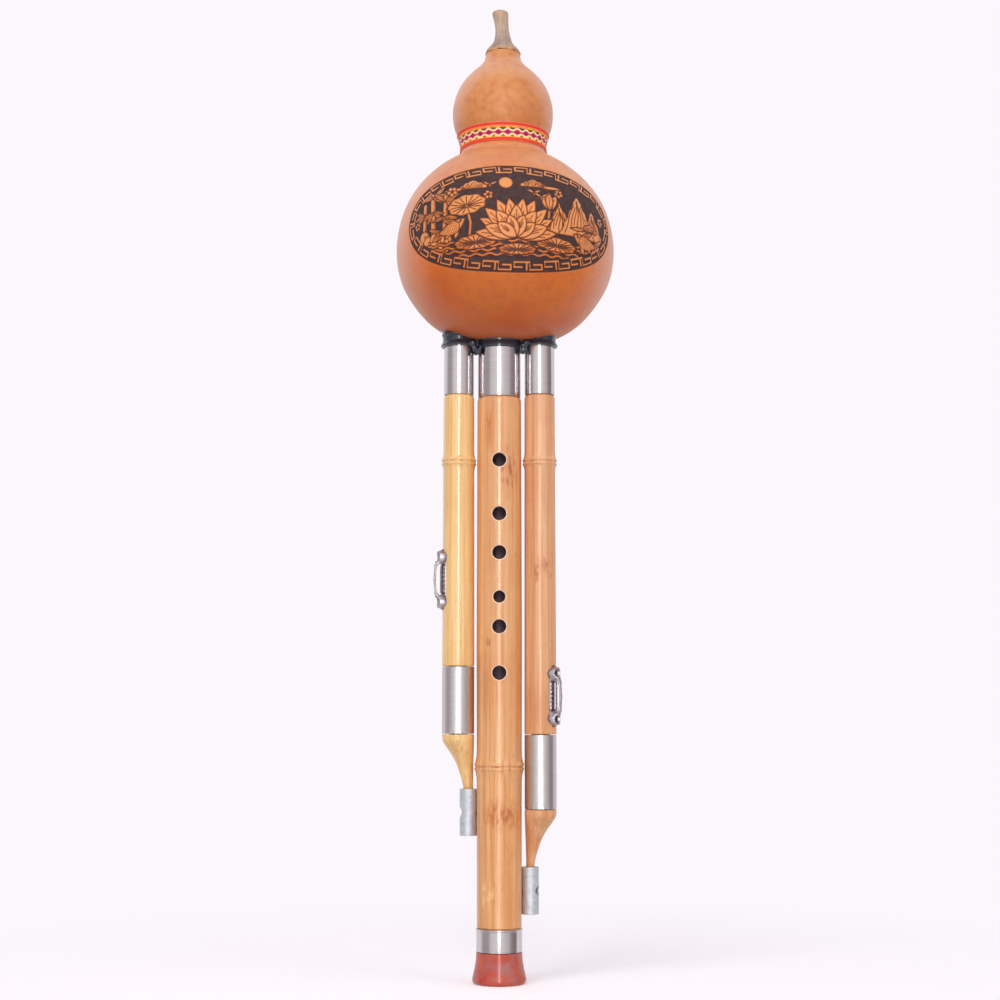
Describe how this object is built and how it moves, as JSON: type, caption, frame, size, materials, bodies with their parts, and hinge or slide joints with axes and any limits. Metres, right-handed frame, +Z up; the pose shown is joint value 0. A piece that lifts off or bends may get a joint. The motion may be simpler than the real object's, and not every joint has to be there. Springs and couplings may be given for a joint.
{
  "type": "hulusi",
  "caption": "Gourd flute: a waisted gourd wind chest over a bamboo melody pipe with finger holes, flanked by drone pipes with turning steel valves.",
  "frame": {"origin": "on the floor plane through the foot's lower face, under the middle of the gourd's lower bulb", "axes": "+Z up along the pipes towards the mouthpiece, -Y the side of the finger holes, +X to the right when the finger holes are looked at"},
  "size_m": [0.1069, 0.1068, 0.4764],
  "materials": {
    "gourd_skin": "thin clear coat over dried gourd rind, with an engraved and burnt oval panel",
    "dried_stem": "dry and matte",
    "woven_ribbon": "woven ribbon in red, orange, green, cream and magenta",
    "black_plastic": "glossy",
    "reed_tube": "moulded",
    "rubber": "matte",
    "steel": "polished tube",
    "brushed_steel": "finely brushed tube",
    "warm_bamboo": "clear lacquer",
    "pale_bamboo": "clear lacquer",
    "pink_bamboo": "clear lacquer",
    "agate_resin": "polished mottled red resin",
    "cast_metal": "cast, lightly tarnished",
    "brass": "bare"
  },
  "bodies": {
    "wind_chest": {"gourd_shell": "gourd_skin", "stem_mouthpiece": "dried_stem", "neck_ribbon": "woven_ribbon", "socket_block": "black_plastic", "melody_o_ring": "rubber", "left_drone_pipe": "pale_bamboo", "left_drone_ferrule": "steel", "left_drone_o_ring": "rubber", "left_reed_tube": "reed_tube", "left_reed_plate": "brass", "left_valve_core": "black_plastic", "left_drone_tip": "pale_bamboo", "left_bracket": "cast_metal", "left_bracket_lower_screw": "cast_metal", "left_bracket_upper_screw": "cast_metal", "right_drone_pipe": "pink_bamboo", "right_drone_ferrule": "steel", "right_drone_o_ring": "rubber", "right_reed_tube": "reed_tube", "right_reed_plate": "brass", "right_valve_core": "black_plastic", "right_drone_tip": "pink_bamboo", "right_bracket": "cast_metal", "right_bracket_lower_screw": "cast_metal", "right_bracket_upper_screw": "cast_metal"},
    "melody_joint": {"melody_pipe": "warm_bamboo", "melody_ferrule": "steel", "melody_reed_tube": "reed_tube", "melody_reed_plate": "brass", "foot_ferrule": "steel", "foot_bell": "agate_resin", "left_clip_tube": "cast_metal", "left_clip_screw": "steel", "right_clip_tube": "cast_metal", "right_clip_screw": "steel"},
    "left_valve": {"left_valve_sleeve": "brushed_steel"},
    "right_valve": {"right_valve_sleeve": "brushed_steel"},
    "melody_reed": {"melody_reed_tongue": "brass"},
    "left_reed": {"left_reed_tongue": "brass"},
    "right_reed": {"right_reed_tongue": "brass"}
  },
  "joints": [
    {"name": "melody_pipe_slide", "type": "slide", "parent": "wind_chest", "child": "melody_joint", "axis": [0, 0, -1], "range_m": [0, 0.06]},
    {"name": "left_valve_turn", "type": "hinge", "parent": "wind_chest", "child": "left_valve", "pos_m": [-0.0226, 0, 0.1323], "axis": [0, 0, 1], "range_deg": [0, 90]},
    {"name": "right_valve_turn", "type": "hinge", "parent": "wind_chest", "child": "right_valve", "pos_m": [0.0168, 0, 0.0984], "axis": [0, 0, -1], "range_deg": [0, 90]},
    {"name": "melody_reed_flex", "type": "hinge", "parent": "melody_joint", "child": "melody_reed", "pos_m": [-0.0029, -0.0046, 0.3295], "axis": [1, 0, 0], "range_deg": [-2, 2], "stiffness_Nm_per_rad": 0.0005},
    {"name": "left_reed_flex", "type": "hinge", "parent": "wind_chest", "child": "left_reed", "pos_m": [-0.0226, -0.0038, 0.3265], "axis": [1, 0, 0], "range_deg": [-2, 2], "stiffness_Nm_per_rad": 0.0005},
    {"name": "right_reed_flex", "type": "hinge", "parent": "wind_chest", "child": "right_reed", "pos_m": [0.0168, -0.0038, 0.3265], "axis": [1, 0, 0], "range_deg": [-2, 2], "stiffness_Nm_per_rad": 0.0005}
  ]
}
